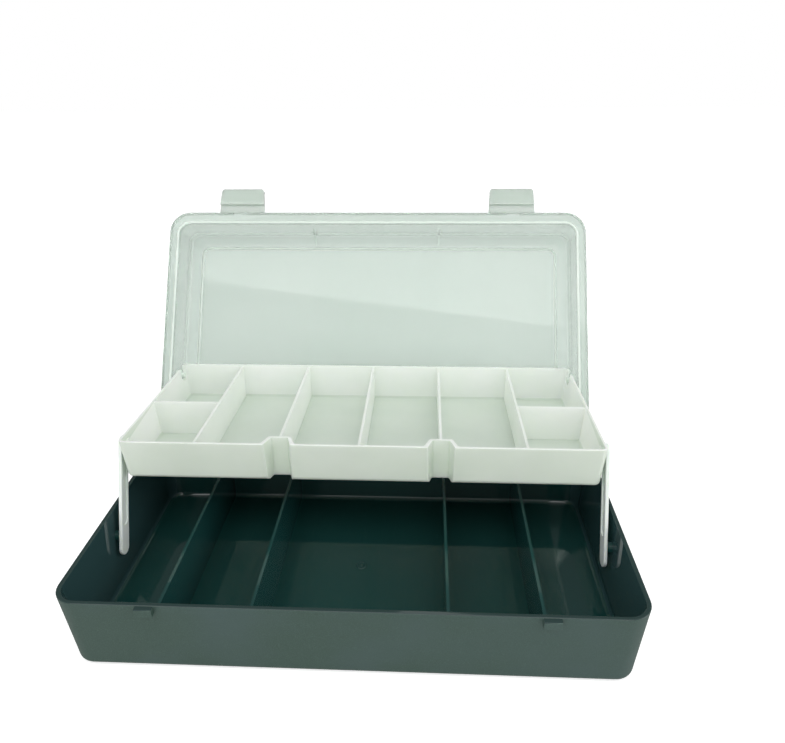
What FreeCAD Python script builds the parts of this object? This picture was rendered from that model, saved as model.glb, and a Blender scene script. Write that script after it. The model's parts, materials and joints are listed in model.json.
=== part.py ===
import FreeCAD, Part
import math
import os

import Sketcher

# A one-tray cantilever tackle box, 270 mm wide.
#
# Frame: X to the right, Y to the back, Z up, millimetres, with the origin in the middle of the
# base's underside. The box stands open: the lid leans back on its two rear hinges, and the tray
# hangs between two swinging arms on the base and two stubs inside the lid. The stubs rest in slots
# of the tray that are open at the rim, so the tray snaps off and lifts out.
#
# The lid, the tray, the arms and the latches are each drawn about their own pivot, as they lie
# when the box is closed (an arm is drawn upright), and their Placement swings them open.

# Driving sizes in millimetres, or degrees for an angle: name, value, meaning.
SIZES = [
    ("base_width", "270", "over the rim"),
    ("base_depth", "138.4", "over the rim"),
    ("base_height", "42.6", "underside to rim"),
    ("base_inset", "2.6", "how far each wall draws in from rim to underside"),
    ("base_corner", "12", "radius of the rim's corners"),
    ("base_wall", "2.2", "wall"),
    ("base_floor", "2", "floor"),
    ("base_heel_round", "4.5", "outer round between wall and underside"),
    ("base_floor_round", "3", "inner round between wall and floor"),
    ("base_rim_round", "0.5", "round on the rim"),
    ("divider_thickness", "1.5", "base divider"),
    ("divider_inner_offset", "45.6", "inner pair of base dividers from the middle"),
    ("divider_outer_offset", "89.3", "outer pair of base dividers from the middle"),
    ("divider_foot_cut", "2.5", "base divider's lower corners, cut off inside the wall"),
    ("divider_clearance", "0.8", "base divider to the closed tray's underside"),
    ("hinge_setback", "5.2", "hinge axis behind the rear rim"),
    ("hinge_from_side", "47", "middle of each hinge from the side rim"),
    ("hinge_ear_gap", "22.4", "between the two ears of a hinge"),
    ("hinge_ear_width", "7.6", "ear"),
    ("hinge_radius", "3", "ear and knuckle"),
    ("hinge_ear_drop", "10", "how far an ear reaches down the rear wall"),
    ("hinge_side_clearance", "0.4", "knuckle to ear"),
    ("hinge_pin_radius", "1.5", "pin"),
    ("hinge_pin_end", "0.3", "chamfer on the pin's ends"),
    ("pin_fit", "0.02", "radial, between the pin and its ears"),
    ("running_fit", "0.06", "radial, between a pin or peg and what turns on it"),
    ("lid_seat_gap", "0.4", "rim to lid flange when closed"),
    ("lid_open_angle", "123", "lid swing from closed to its stop"),
    ("lid_side_overhang", "1.4", "flange past the rim, left and right"),
    ("lid_front_overhang", "2.5", "flange past the rim, in front"),
    ("lid_rear_overhang", "3.2", "flange past the rim, at the back"),
    ("lid_flange_thickness", "2.2", "flange"),
    ("lid_flange_round", "0.5", "round on the flange's edge"),
    ("lid_skirt_depth", "1.4", "skirt that hangs outside the rim"),
    ("lid_skirt_thickness", "1", "skirt"),
    ("lid_tongue_depth", "1.5", "tongue that hangs inside the rim"),
    ("lid_tongue_clearance", "1.2", "tongue to the base's inner wall"),
    ("lid_wall", "1.6", "dome wall"),
    ("lid_top", "1.6", "dome top"),
    ("lid_inset", "0.6", "how far the dome draws in from tongue to top"),
    ("lid_top_round", "3", "outer round of the dome"),
    ("lid_inner_round", "2", "inner round of the dome"),
    ("lid_panel_step", "0.8", "height of the raised panel"),
    ("lid_panel_corner", "5", "radius of the panel's corners"),
    ("lid_panel_side_border", "15", "flange edge to panel, left and right"),
    ("lid_panel_front_border", "17", "flange edge to panel, in front"),
    ("lid_panel_rear_border", "12", "flange edge to panel, at the back"),
    ("lid_rib_offset", "42", "gussets behind the dome's front wall, from the middle"),
    ("lid_rib_thickness", "1.5", "gusset"),
    ("lid_rib_reach", "8", "gusset along the top"),
    ("lid_rib_height", "14", "gusset down the front wall"),
    ("lid_notch_clearance", "0.6", "flange to hinge ear"),
    ("heel_clearance", "0.5", "tray's rear heel to the open lid's top"),
    ("stub_forward", "38.3", "tray stub in front of the hinge axis"),
    ("stub_rise", "7.6", "tray stub above the hinge axis"),
    ("stub_radius", "1.6", "stub in the lid that carries the tray"),
    ("stub_collar", "1.8", "how much wider the stub's collar is"),
    ("stub_play", "1.8", "play of the tray's slot round the stub, to each side"),
    ("stub_slot_forward", "0.8", "middle of the tray's slot in front of the stub"),
    ("stub_reach", "0.8", "stub past the tray's wall"),
    ("stub_side_clearance", "0.4", "collar to the tray's rim"),
    ("tray_depth", "103.6", "front to back over the rim"),
    ("tray_height", "23.1", "rim to underside"),
    ("tray_inset", "1.5", "how far each wall draws in from rim to underside"),
    ("tray_round", "3", "outer round of the upright corners and the underside"),
    ("tray_inner_round", "1.6", "inner round of the upright corners and the floor"),
    ("tray_rim_round", "0.4", "round on the rim"),
    ("tray_wall", "1.4", "wall"),
    ("tray_floor", "1.4", "floor"),
    ("tray_divider_thickness", "1.3", "tray divider"),
    ("tray_divider_cut", "1.6", "tray divider's lower corners, cut off inside the wall"),
    ("tray_divider_drop", "0.6", "divider below the rim"),
    ("tray_inner_offset", "42.5", "inner pair of tray dividers from the middle"),
    ("tray_outer_offset", "86.7", "outer pair of tray dividers from the middle"),
    ("tray_cross_from_rear", "54.9", "cross dividers from the rear rim"),
    ("tray_notch_mouth", "15", "front notch, at the front"),
    ("tray_notch_back", "9", "front notch, at its back"),
    ("tray_notch_depth", "7.5", "front notch"),
    ("tray_notch_round", "1.2", "round in the notch's back corners"),
    ("tray_stub_from_rear", "6.5", "stub slot from the rear rim"),
    ("tray_stub_below_rim", "5.4", "seat of the stub slot below the rim"),
    ("tray_peg_from_front", "9", "arm peg from the front rim"),
    ("tray_peg_below_rim", "6", "arm peg below the rim"),
    ("tray_open_tilt", "2.5", "how far the open tray's front is tipped up"),
    ("tray_arm_clearance", "0.4", "tray rim to arm"),
    ("arm_lid_clearance", "0.9", "arm to the closed lid's wall"),
    ("arm_thickness", "1.8", "arm"),
    ("arm_width", "8.2", "arm"),
    ("arm_pivot_below_rim", "14.6", "arm's pivot on the base, below the rim"),
    ("arm_top_reach", "4.3", "arm past the tray's peg"),
    ("arm_foot_reach", "10.3", "arm past the base's peg"),
    ("arm_rim", "1.3", "rim round the arm's recess"),
    ("arm_recess", "0.6", "recess in the arm's inner face"),
    ("arm_recess_setback", "6", "recess from each pivot"),
    ("arm_edge", "0.25", "chamfer along the arm's edges"),
    ("peg_radius", "2.2", "pegs that the arms turn on"),
    ("peg_collar", "0.9", "how much wider a peg's collar is"),
    ("peg_side_clearance", "0.3", "arm to collar, and arm to peg end"),
    ("peg_head", "0.8", "how much wider the tray's peg is inside the tray"),
    ("peg_head_thickness", "0.7", "inner end of the tray's peg"),
    ("socket_depth", "1.3", "blind socket in the arm's outer face for the base's peg"),
    ("latch_from_side", "46", "middle of each latch from the side rim"),
    ("latch_width", "30", "latch flap, at the fold"),
    ("latch_taper", "1", "how far each side of the flap draws in to its free end"),
    ("latch_length", "16.5", "latch flap"),
    ("latch_thickness", "1.3", "latch flap"),
    ("latch_fold_gap", "0.1", "flap from its fold line, along and across"),
    ("latch_root_gap", "0.25", "fold line in front of the flange"),
    ("latch_root_chamfer", "0.9", "chamfer that lets the flap fold back"),
    ("latch_axis_height", "0.5", "fold line above the flange's underside"),
    ("latch_film", "0.3", "thickness of the web that the flap folds on"),
    ("latch_hook_height", "1.7", "hook on the flap's inner face"),
    ("latch_hook_width", "2.3", "hook along the flap"),
    ("latch_hook_clearance", "0.35", "hook to lug when latched"),
    ("latch_swell", "0.4", "extra thickness of the flap's free end"),
    ("latch_lip_height", "2.6", "finger lip at the free end"),
    ("latch_lip_thickness", "1.4", "finger lip"),
    ("latch_lip_slope", "1.2", "run of the finger lip's slope"),
    ("latch_corner", "2", "radius of the flap's free corners"),
    ("lug_from_side", "45", "middle of each catch lug from the side rim"),
    ("lug_width", "8", "catch lug"),
    ("lug_proud", "2.5", "catch lug in front of the rim"),
    ("lug_below_rim", "0.3", "top of the catch lug"),
    ("lug_height", "4", "catch lug"),
    ("lug_edge", "0.4", "chamfer on the catch lug"),
    ("lug_clearance", "0.6", "catch lug to the gap in the lid's skirt"),
]

# Sizes that follow from the driving ones.
DERIVED = [
    # Hinges, latches and catch lugs keep their distance from the sides.
    ("hinge_offset", "sizes.base_width / 2 - sizes.hinge_from_side"),
    ("latch_offset", "sizes.base_width / 2 - sizes.latch_from_side"),
    ("lug_offset", "sizes.base_width / 2 - sizes.lug_from_side"),
    # The lid's hinge axis.
    ("hinge_y", "sizes.base_depth / 2 + sizes.hinge_setback"),
    ("hinge_z", "sizes.base_height + sizes.lid_seat_gap"),
    # The lid in its own frame, whose origin is the hinge axis.
    ("flange_half", "sizes.base_width / 2 + sizes.lid_side_overhang"),
    ("flange_front", "-(sizes.hinge_setback + sizes.base_depth + sizes.lid_front_overhang)"),
    ("flange_rear", "-(sizes.hinge_setback - sizes.lid_rear_overhang)"),
    ("flange_corner", "sizes.base_corner + sizes.lid_side_overhang"),
    ("dome_gap", "sizes.base_wall + sizes.lid_tongue_clearance"),
    ("dome_half", "sizes.base_width / 2 - derived.dome_gap"),
    ("dome_front", "-(sizes.hinge_setback + sizes.base_depth - derived.dome_gap)"),
    ("dome_rear", "-(sizes.hinge_setback + derived.dome_gap)"),
    ("dome_corner", "sizes.base_corner - derived.dome_gap"),
    ("hollow_half", "derived.dome_half - sizes.lid_wall"),
    # The arms run close inside the lid's walls, and the tray fits between the arms.
    ("arm_outer", "derived.hollow_half - sizes.arm_lid_clearance"),
    ("arm_inner", "derived.arm_outer - sizes.arm_thickness"),
    ("tray_half", "derived.arm_inner - sizes.tray_arm_clearance"),
    # The tray in its own frame, whose origin is its rear pivot.
    ("tray_front", "sizes.tray_stub_from_rear - sizes.tray_depth"),
    ("tray_under", "sizes.tray_stub_below_rim - sizes.tray_height"),
    ("peg_y", "derived.tray_front + sizes.tray_peg_from_front"),
    ("peg_z", "sizes.tray_stub_below_rim - sizes.tray_peg_below_rim"),
    # The tray's rear pivot and arm peg in the box's frame, closed and open.
    ("stub_shut_y", "derived.hinge_y - sizes.stub_forward"),
    ("stub_shut_z", "derived.hinge_z + sizes.stub_rise"),
    ("stub_open_y", "derived.hinge_y - sizes.stub_forward * cos(sizes.lid_open_angle)"
                    " + sizes.stub_rise * sin(sizes.lid_open_angle)"),
    ("stub_open_z", "derived.hinge_z + sizes.stub_forward * sin(sizes.lid_open_angle)"
                    " + sizes.stub_rise * cos(sizes.lid_open_angle)"),
    ("peg_shut_y", "derived.stub_shut_y + derived.peg_y"),
    ("peg_shut_z", "derived.stub_shut_z + derived.peg_z"),
    ("peg_open_y", "derived.stub_open_y + derived.peg_y * cos(sizes.tray_open_tilt)"
                   " + derived.peg_z * sin(sizes.tray_open_tilt)"),
    ("peg_open_z", "derived.stub_open_z - derived.peg_y * sin(sizes.tray_open_tilt)"
                   " + derived.peg_z * cos(sizes.tray_open_tilt)"),
    # The arm's pivot on the base is as far from the open peg as from the closed one.
    ("peg_slope", "(derived.peg_open_z - derived.peg_shut_z) / (derived.peg_open_y - derived.peg_shut_y)"),
    ("arm_pivot_z", "sizes.base_height - sizes.arm_pivot_below_rim"),
    ("arm_pivot_y", "(derived.peg_open_y + derived.peg_shut_y) / 2"
                    " + ((derived.peg_open_z + derived.peg_shut_z) / 2 - derived.arm_pivot_z)"
                    " * derived.peg_slope"),
    ("arm_length", "sqrt((derived.peg_open_y - derived.arm_pivot_y) ^ 2"
                   " + (derived.peg_open_z - derived.arm_pivot_z) ^ 2)"),
    ("arm_open_angle", "atan2(derived.peg_open_z - derived.arm_pivot_z;"
                       " derived.peg_open_y - derived.arm_pivot_y)"),
    ("arm_shut_angle", "atan2(derived.peg_shut_z - derived.arm_pivot_z;"
                       " derived.peg_shut_y - derived.arm_pivot_y)"),
    # The dome is as deep as the tray's rounded rear heel needs when the box is open.
    ("heel_angle", "sizes.lid_open_angle - sizes.tray_open_tilt"),
    ("dome_depth", "sizes.stub_rise + sizes.tray_round + sizes.heel_clearance"
                   " + (sizes.tray_stub_from_rear - sizes.tray_inset - sizes.tray_round)"
                   " * sin(derived.heel_angle)"
                   " + (derived.tray_under + sizes.tray_round) * cos(derived.heel_angle)"),
    ("dome_outside", "derived.dome_depth + sizes.lid_top"),
    # Base dividers stop just under the closed tray.
    ("divider_top", "derived.stub_shut_z + derived.tray_under - sizes.divider_clearance"),
    # The catch lugs, and the latches' fold line in the lid's frame.
    ("lug_top", "sizes.base_height - sizes.lug_below_rim"),
    ("lug_bottom", "derived.lug_top - sizes.lug_height"),
    ("fold_y", "derived.flange_front - sizes.latch_root_gap"),
    ("hook_start", "derived.hinge_z + sizes.latch_axis_height - derived.lug_bottom"
                   " + sizes.latch_hook_clearance"),
]

TOLERANCE = 0.01
X_AXIS = FreeCAD.Vector(1, 0, 0)
Z_AXIS = FreeCAD.Vector(0, 0, 1)
SIDES = (("left", -1), ("right", 1))

doc = FreeCAD.newDocument("tackle_box")


def make_sizes():
    """Fill the sheet with the driving sizes, one per row, and name their cells."""
    sheet = doc.addObject("Spreadsheet::Sheet", "sizes")
    for row, (name, value, meaning) in enumerate(SIZES, start=1):
        sheet.set(f"A{row}", name)
        sheet.set(f"B{row}", value)
        sheet.set(f"C{row}", meaning)
        sheet.setAlias(f"B{row}", name)
    doc.recompute()
    return sheet


def make_derived():
    """Work out the sizes that follow from the sheet."""
    derived = doc.addObject("App::VarSet", "derived")
    for name, formula in DERIVED:
        derived.addProperty("App::PropertyFloat", name)
        derived.setExpression(name, formula)
        doc.recompute()
    return derived


sheet = make_sizes()
derived = make_derived()


def number(formula):
    """The present value of an expression, in millimetres or degrees."""
    result = sheet.evalExpression(formula)
    return float(getattr(result, "Value", result))


# Sketching helpers. Every place and radius is an expression, so a sketch follows the sheet.


def new_sketch(body, name, plane_role, offset="0"):
    """An empty sketch on one of the body's own origin planes, shifted along its normal."""
    plane = next(f for f in body.Origin.OriginFeatures if f.Role == plane_role)
    sketch = body.newObject("Sketcher::SketchObject", name)
    sketch.AttachmentSupport = [(plane, "")]
    sketch.MapMode = "FlatFace"
    sketch.setExpression("AttachmentOffset.Base.z", offset)
    return sketch


def bind(sketch, constraint, formula):
    """Add a dimension and tie it to an expression."""
    index = sketch.addConstraint(constraint)
    name = f"size_{index}"
    sketch.renameConstraint(index, name)
    sketch.setExpression(f"Constraints.{name}", formula)


def pin(sketch, geometry, point, across, along):
    """Hold a point of a curve at a place given by two expressions."""
    for kind, axis, formula in (("DistanceX", -2, across), ("DistanceY", -1, along)):
        if formula == "0":
            sketch.addConstraint(Sketcher.Constraint("PointOnObject", geometry, point, axis))
        else:
            bind(sketch, Sketcher.Constraint(kind, geometry, point, number(formula)), formula)


def draw_polygon(sketch, corners):
    """A closed outline through corners given as pairs of expressions."""
    first = sketch.GeometryCount
    places = [FreeCAD.Vector(number(across), number(along), 0) for across, along in corners]
    count = len(places)
    for i in range(count):
        sketch.addGeometry(Part.LineSegment(places[i], places[(i + 1) % count]), False)
    for i in range(count):
        follower = first + (i + 1) % count
        sketch.addConstraint(Sketcher.Constraint("Coincident", first + i, 2, follower, 1))
    for i, (across, along) in enumerate(corners):
        pin(sketch, first + i, 1, across, along)


def draw_circle(sketch, across, along, radius):
    """A circle whose centre and radius are expressions."""
    centre = FreeCAD.Vector(number(across), number(along), 0)
    circle = sketch.addGeometry(Part.Circle(centre, Z_AXIS, number(radius)), False)
    pin(sketch, circle, 3, across, along)
    bind(sketch, Sketcher.Constraint("Radius", circle, number(radius)), radius)


def draw_rounded_rectangle(sketch, left, right, front, back, radius):
    """A rectangle with four equal rounded corners."""
    x0, x1, y0, y1, r = (number(f) for f in (left, right, front, back, radius))
    first = sketch.GeometryCount
    ends = [
        ((x0 + r, y0), (x1 - r, y0), (x1 - r, y0 + r), -90),
        ((x1, y0 + r), (x1, y1 - r), (x1 - r, y1 - r), 0),
        ((x1 - r, y1), (x0 + r, y1), (x0 + r, y1 - r), 90),
        ((x0, y1 - r), (x0, y0 + r), (x0 + r, y0 + r), 180),
    ]
    for start, end, centre, angle in ends:
        line = Part.LineSegment(FreeCAD.Vector(*start, 0), FreeCAD.Vector(*end, 0))
        circle = Part.Circle(FreeCAD.Vector(*centre, 0), Z_AXIS, r)
        arc = Part.ArcOfCircle(circle, math.radians(angle), math.radians(angle + 90))
        sketch.addGeometry([line, arc], False)
    for i in range(8):
        follower = first + (i + 1) % 8
        sketch.addConstraint(Sketcher.Constraint("Tangent", first + i, 2, follower, 1))
    for side in (0, 4):
        sketch.addConstraint(Sketcher.Constraint("Horizontal", first + side))
        sketch.addConstraint(Sketcher.Constraint("Vertical", first + side + 2))
    for corner in (1, 3, 5):
        sketch.addConstraint(Sketcher.Constraint("Equal", first + corner, first + corner + 2))
    bind(sketch, Sketcher.Constraint("DistanceY", first, 1, y0), front)
    bind(sketch, Sketcher.Constraint("DistanceX", first + 2, 1, x1), right)
    bind(sketch, Sketcher.Constraint("DistanceY", first + 4, 1, y1), back)
    bind(sketch, Sketcher.Constraint("DistanceX", first + 6, 1, x0), left)
    bind(sketch, Sketcher.Constraint("Radius", first + 1, r), radius)


def draw_slot(sketch, low, high, radius, across="0"):
    """An upright strip with round ends, whose end arcs are centred at two heights."""
    x, z0, z1, r = (number(f) for f in (across, low, high, radius))
    first = sketch.GeometryCount
    foot = Part.Circle(FreeCAD.Vector(x, z0, 0), Z_AXIS, r)
    top = Part.Circle(FreeCAD.Vector(x, z1, 0), Z_AXIS, r)
    sketch.addGeometry([
        Part.LineSegment(FreeCAD.Vector(x + r, z0, 0), FreeCAD.Vector(x + r, z1, 0)),
        Part.ArcOfCircle(top, 0, math.pi),
        Part.LineSegment(FreeCAD.Vector(x - r, z1, 0), FreeCAD.Vector(x - r, z0, 0)),
        Part.ArcOfCircle(foot, math.pi, 2 * math.pi),
    ], False)
    for i in range(4):
        follower = first + (i + 1) % 4
        sketch.addConstraint(Sketcher.Constraint("Tangent", first + i, 2, follower, 1))
    sketch.addConstraint(Sketcher.Constraint("Equal", first + 1, first + 3))
    pin(sketch, first + 1, 3, across, high)
    pin(sketch, first + 3, 3, across, low)
    bind(sketch, Sketcher.Constraint("Radius", first + 1, r), radius)


# Feature helpers.


def finish(body, feature, was=None, grows=True):
    """Recompute, and make sure that the feature changed the solid the way it should."""
    doc.recompute()
    if feature.Shape.isNull() or "Invalid" in feature.State:
        raise RuntimeError(f"{body.Label}: {feature.Name} failed")
    if was is not None and (feature.Shape.Volume > was) != grows:
        raise RuntimeError(f"{body.Label}: {feature.Name} missed the solid")
    return feature


def volume_of(body):
    """Volume of the body so far."""
    if body.Tip is None or not body.Tip.isDerivedFrom("PartDesign::Feature"):
        return 0.0
    return body.Tip.Shape.Volume


def pad(body, sketch, length, reverse=False, both=False, taper=None):
    """Extrude a sketch along its normal, against it, or half each way."""
    was = volume_of(body)
    feature = body.newObject("PartDesign::Pad", f"{sketch.Name}_pad")
    feature.Profile = sketch
    feature.Reversed = reverse
    feature.SideType = "Symmetric" if both else "One side"
    feature.setExpression("Length", length)
    if taper:
        feature.setExpression("TaperAngle", taper)
    sketch.Visibility = False
    return finish(body, feature, was)


def pocket(body, sketch, length=None, reverse=False, both=False, taper=None):
    """Cut a sketch out, against its normal unless reversed, or right through both ways."""
    was = volume_of(body)
    feature = body.newObject("PartDesign::Pocket", f"{sketch.Name}_pocket")
    feature.Profile = sketch
    feature.Reversed = reverse
    feature.SideType = "Symmetric" if both else "One side"
    if length:
        feature.setExpression("Length", length)
    else:
        feature.Type = "ThroughAll"
    if taper:
        feature.setExpression("TaperAngle", taper)
    sketch.Visibility = False
    return finish(body, feature, was, grows=False)


def dress(body, kind, test, size):
    """Fillet or chamfer the edges of the body's tip that pass a test."""
    base = body.Tip
    names = [f"Edge{i}" for i, edge in enumerate(base.Shape.Edges, start=1) if test(edge)]
    if not names:
        raise RuntimeError(f"{body.Label}: no edge to dress after {base.Name}")
    feature = body.newObject(f"PartDesign::{kind}", f"{base.Name}_{kind.lower()}")
    feature.Base = (base, names)
    feature.setExpression("Radius" if kind == "Fillet" else "Size", size)
    return finish(body, feature)


def mirror(body, features):
    """Repeat features on the other side of the body's middle plane."""
    was = volume_of(body)
    feature = body.newObject("PartDesign::Mirrored", "other_side")
    feature.Originals = features
    plane = next(f for f in body.Origin.OriginFeatures if f.Role == "YZ_Plane")
    feature.MirrorPlane = (plane, [""])
    body.Tip = feature
    return finish(body, feature, was)


def near(low, high, level):
    """Whether a range lies wholly at one value."""
    return abs(low - level) < TOLERANCE and abs(high - level) < TOLERANCE


def at_height(formula):
    """Test for edges that lie flat at a height."""
    level = number(formula)
    return lambda edge: near(edge.BoundBox.ZMin, edge.BoundBox.ZMax, level)


def new_body(label):
    """An empty body."""
    body = doc.addObject("PartDesign::Body", label)
    body.Label = label
    return body


def place(body, y, z, angle="0"):
    """Put the body's own origin at (0, y, z) and turn it about X."""
    body.Placement = FreeCAD.Placement(FreeCAD.Vector(), FreeCAD.Rotation(X_AXIS, 1))
    body.setExpression("Placement.Base.y", y)
    body.setExpression("Placement.Base.z", z)
    body.setExpression("Placement.Rotation.Angle", angle)
    doc.recompute()


def disc(body, name, x, y, z, radius, length, reverse=False):
    """A round boss that grows along X from a place."""
    sketch = new_sketch(body, name, "YZ_Plane", x)
    draw_circle(sketch, y, z, radius)
    return pad(body, sketch, length, reverse=reverse)


def slab(body, name, x, corners, thickness):
    """A plate across X whose middle plane is at x, with its outline in Y and Z."""
    sketch = new_sketch(body, name, "YZ_Plane", x)
    draw_polygon(sketch, corners)
    return pad(body, sketch, thickness, both=True)


# The base: a tub with four dividers, hinge ears, catch lugs and the arms' lower pegs.


def base_wall_middle(half, below_rim):
    """Middle of a base wall at a depth below the rim, for a given half width or depth."""
    return f"({half} - sizes.base_wall / 2 - sizes.base_inset * ({below_rim}) / sizes.base_height)"


BASE_HALF_X = "sizes.base_width / 2"
BASE_HALF_Y = "sizes.base_depth / 2"
BASE_TAPER = "-atan(sizes.base_inset / sizes.base_height)"


def make_base_tub(body):
    """The tub: floor, drafted walls and rounded rim."""
    outer = new_sketch(body, "base_outer", "XY_Plane", "sizes.base_height")
    draw_rounded_rectangle(outer, f"-{BASE_HALF_X}", BASE_HALF_X, f"-{BASE_HALF_Y}", BASE_HALF_Y,
                           "sizes.base_corner")
    pad(body, outer, "sizes.base_height", reverse=True, taper=BASE_TAPER)
    dress(body, "Fillet", at_height("0"), "sizes.base_heel_round")
    inner = new_sketch(body, "base_inner", "XY_Plane", "sizes.base_height")
    draw_rounded_rectangle(inner, f"-({BASE_HALF_X} - sizes.base_wall)",
                           f"{BASE_HALF_X} - sizes.base_wall",
                           f"-({BASE_HALF_Y} - sizes.base_wall)",
                           f"{BASE_HALF_Y} - sizes.base_wall",
                           "sizes.base_corner - sizes.base_wall")
    pocket(body, inner, "sizes.base_height - sizes.base_floor", taper=BASE_TAPER)
    dress(body, "Fillet", at_height("sizes.base_floor"), "sizes.base_floor_round")
    dress(body, "Fillet", at_height("sizes.base_height"), "sizes.base_rim_round")


def make_base_dividers(body):
    """Four upright plates that run from the front wall to the rear wall."""
    foot = base_wall_middle(BASE_HALF_Y, "sizes.base_height - sizes.base_floor / 2")
    head = base_wall_middle(BASE_HALF_Y, "sizes.base_height - derived.divider_top")
    low = "sizes.base_floor / 2"
    outline = [
        (f"-({foot} - sizes.divider_foot_cut)", low),
        (f"{foot} - sizes.divider_foot_cut", low),
        (foot, f"{low} + sizes.divider_foot_cut"),
        (head, "derived.divider_top"),
        (f"-{head}", "derived.divider_top"),
        (f"-{foot}", f"{low} + sizes.divider_foot_cut"),
    ]
    for sign in ("-", ""):
        for pair in ("inner", "outer"):
            slab(body, "divider", f"{sign}sizes.divider_{pair}_offset", outline,
                 "sizes.divider_thickness")


def make_base_side_features(body):
    """Ears, catch lug and arm peg of the right-hand side, then their mirror images."""
    features = []
    ear_shift = "(sizes.hinge_ear_gap + sizes.hinge_ear_width) / 2"
    low = "(sizes.base_height - sizes.hinge_ear_drop)"
    web = [
        (base_wall_middle(BASE_HALF_Y, "sizes.hinge_ear_drop"), low),
        ("derived.hinge_y + sizes.hinge_radius", "derived.hinge_z - sizes.hinge_radius"),
        ("derived.hinge_y + sizes.hinge_radius", "derived.hinge_z"),
        ("derived.hinge_y - sizes.hinge_radius", "derived.hinge_z"),
        ("derived.hinge_y - sizes.hinge_radius", "sizes.base_height - sizes.base_rim_round"),
        (base_wall_middle(BASE_HALF_Y, "0"), "sizes.base_height - sizes.base_rim_round"),
    ]
    for sign in ("-", "+"):
        middle = f"derived.hinge_offset {sign} {ear_shift}"
        features.append(slab(body, "ear_web", middle, web, "sizes.hinge_ear_width"))
        start = f"{middle} - sizes.hinge_ear_width / 2"
        features.append(disc(body, "ear", start, "derived.hinge_y", "derived.hinge_z",
                             "sizes.hinge_radius", "sizes.hinge_ear_width"))
    front = f"-({BASE_HALF_Y} + sizes.lug_proud)"
    root = "-" + base_wall_middle(BASE_HALF_Y, "sizes.lug_below_rim + sizes.lug_height")
    lug = [
        (root, "derived.lug_bottom"),
        (root, "derived.lug_top"),
        (f"{front} + sizes.lug_edge", "derived.lug_top"),
        (front, "derived.lug_top - sizes.lug_edge"),
        (front, "derived.lug_bottom"),
    ]
    features.append(slab(body, "lug", "derived.lug_offset", lug, "sizes.lug_width"))
    # The arm's peg: a collar on the wall, and a short peg in the arm's blind socket.
    collar_face = "(derived.arm_outer + sizes.peg_side_clearance)"
    pivot = ("derived.arm_pivot_y", "derived.arm_pivot_z")
    collar_radius = "(sizes.peg_radius + sizes.peg_collar)"
    wall = base_wall_middle(BASE_HALF_X, f"sizes.arm_pivot_below_rim + {collar_radius}")
    features.append(disc(body, "peg_collar", collar_face, *pivot, collar_radius,
                         f"{wall} - {collar_face}"))
    features.append(disc(body, "peg", collar_face, *pivot, "sizes.peg_radius",
                         "sizes.socket_depth", reverse=True))
    mirror(body, features)


def make_base():
    body = new_body("base")
    make_base_tub(body)
    make_base_dividers(body)
    make_base_side_features(body)
    bores = new_sketch(body, "ear_bores", "YZ_Plane")
    draw_circle(bores, "derived.hinge_y", "derived.hinge_z", "sizes.hinge_pin_radius + sizes.pin_fit")
    pocket(body, bores, both=True)


# The lid, drawn closed about its hinge axis: a flange round a shallow dome.


def lid_outline(sketch, half, front, rear, corner):
    """A rounded rectangle in the lid's plan."""
    draw_rounded_rectangle(sketch, f"-({half})", half, front, rear, corner)


def make_lid_shell(body):
    """Flange, skirt, dome and the raised panel on top."""
    flange = ("derived.flange_half", "derived.flange_front", "derived.flange_rear")
    plate = new_sketch(body, "flange", "XY_Plane")
    lid_outline(plate, *flange, "derived.flange_corner")
    pad(body, plate, "sizes.lid_flange_thickness")
    dress(body, "Fillet", at_height("sizes.lid_flange_thickness"), "sizes.lid_flange_round")
    skirt = new_sketch(body, "skirt", "XY_Plane")
    lid_outline(skirt, *flange, "derived.flange_corner")
    lid_outline(skirt, "derived.flange_half - sizes.lid_skirt_thickness",
                "derived.flange_front + sizes.lid_skirt_thickness",
                "derived.flange_rear - sizes.lid_skirt_thickness",
                "derived.flange_corner - sizes.lid_skirt_thickness")
    pad(body, skirt, "sizes.lid_skirt_depth", reverse=True)

    taper = "-atan(sizes.lid_inset / (derived.dome_outside + sizes.lid_tongue_depth))"
    dome = new_sketch(body, "dome", "XY_Plane", "-sizes.lid_tongue_depth")
    lid_outline(dome, "derived.dome_half", "derived.dome_front", "derived.dome_rear",
                "derived.dome_corner")
    pad(body, dome, "derived.dome_outside + sizes.lid_tongue_depth", taper=taper)
    dress(body, "Fillet", at_height("derived.dome_outside"), "sizes.lid_top_round")
    panel = ("derived.flange_half - sizes.lid_panel_side_border",
             "derived.flange_front + sizes.lid_panel_front_border",
             "derived.flange_rear - sizes.lid_panel_rear_border")
    raised = new_sketch(body, "panel", "XY_Plane", "derived.dome_outside")
    lid_outline(raised, *panel, "sizes.lid_panel_corner")
    pad(body, raised, "sizes.lid_panel_step")

    hollow = new_sketch(body, "hollow", "XY_Plane", "-sizes.lid_tongue_depth")
    lid_outline(hollow, "derived.hollow_half", "derived.dome_front + sizes.lid_wall",
                "derived.dome_rear - sizes.lid_wall", "derived.dome_corner - sizes.lid_wall")
    pocket(body, hollow, "derived.dome_depth + sizes.lid_tongue_depth", reverse=True, taper=taper)
    dress(body, "Fillet", at_height("derived.dome_depth"), "sizes.lid_inner_round")
    recess = new_sketch(body, "panel_recess", "XY_Plane", "derived.dome_depth")
    lid_outline(recess, *panel, "sizes.lid_panel_corner")
    pocket(body, recess, "sizes.lid_panel_step", reverse=True)


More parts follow.
